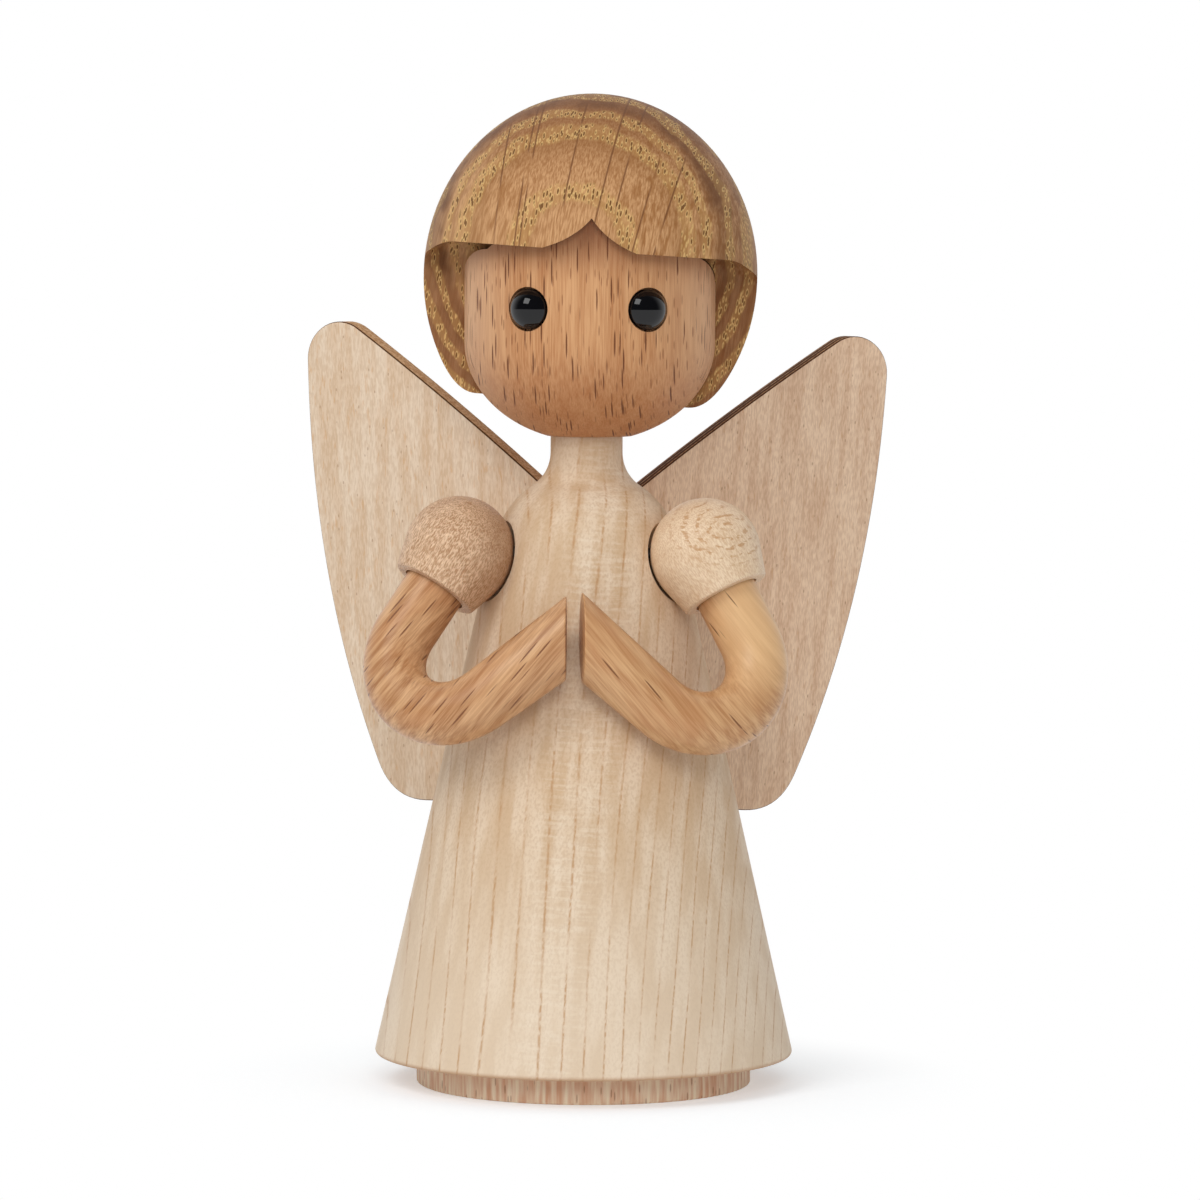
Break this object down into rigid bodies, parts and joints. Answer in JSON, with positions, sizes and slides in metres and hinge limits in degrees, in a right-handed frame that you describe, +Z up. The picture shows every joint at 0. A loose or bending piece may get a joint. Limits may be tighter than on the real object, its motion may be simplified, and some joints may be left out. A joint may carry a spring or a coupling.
{
  "type": "wooden angel figurine",
  "caption": "Turned wooden angel that stands on a foot disc, with plywood wings, a head that turns on its neck, black dome eyes and bent arms that swing at the shoulders.",
  "frame": {"origin": "centre of the underside of the foot disc", "axes": "+Z up along the axis of the dress, -Y towards the side the hands are on, +X to the right as seen from there"},
  "size_m": [0.0908, 0.0687, 0.1499],
  "materials": {
    "foot": "oiled",
    "dress": "oiled",
    "wings": "sanded",
    "dowels": "sanded",
    "pin": "drawn",
    "face": "oiled",
    "hair": "oiled",
    "eyes": "polished",
    "sleeve_dark": "oiled",
    "sleeve_pale": "oiled",
    "arms": "oiled"
  },
  "bodies": {
    "dress": {"dress_body": "dress", "base_disc": "foot", "wing_left": "wings", "wing_right": "wings", "neck_dowel": "dowels", "shoulder_pin": "pin"},
    "head": {"head_block": "face", "hair_cap": "hair", "eye_left": "eyes", "eye_right": "eyes"},
    "left_arm": {"sleeve_left": "sleeve_dark", "arm_left": "arms", "arm_peg_left": "dowels"},
    "right_arm": {"sleeve_right": "sleeve_pale", "arm_right": "arms", "arm_peg_right": "dowels"}
  },
  "joints": [
    {"name": "head_turn", "type": "hinge", "parent": "dress", "child": "head", "pos_m": [0, 0, 0.098], "axis": [0, 0, 1], "continuous": true},
    {"name": "arm_left_swing", "type": "hinge", "parent": "dress", "child": "left_arm", "pos_m": [-0.01853, -0.00841, 0.0811], "axis": [-1, 0, 0], "range_deg": [-3, 80]},
    {"name": "arm_right_swing", "type": "hinge", "parent": "dress", "child": "right_arm", "pos_m": [0.01853, -0.00841, 0.0811], "axis": [-1, 0, 0], "range_deg": [-1, 80]}
  ]
}
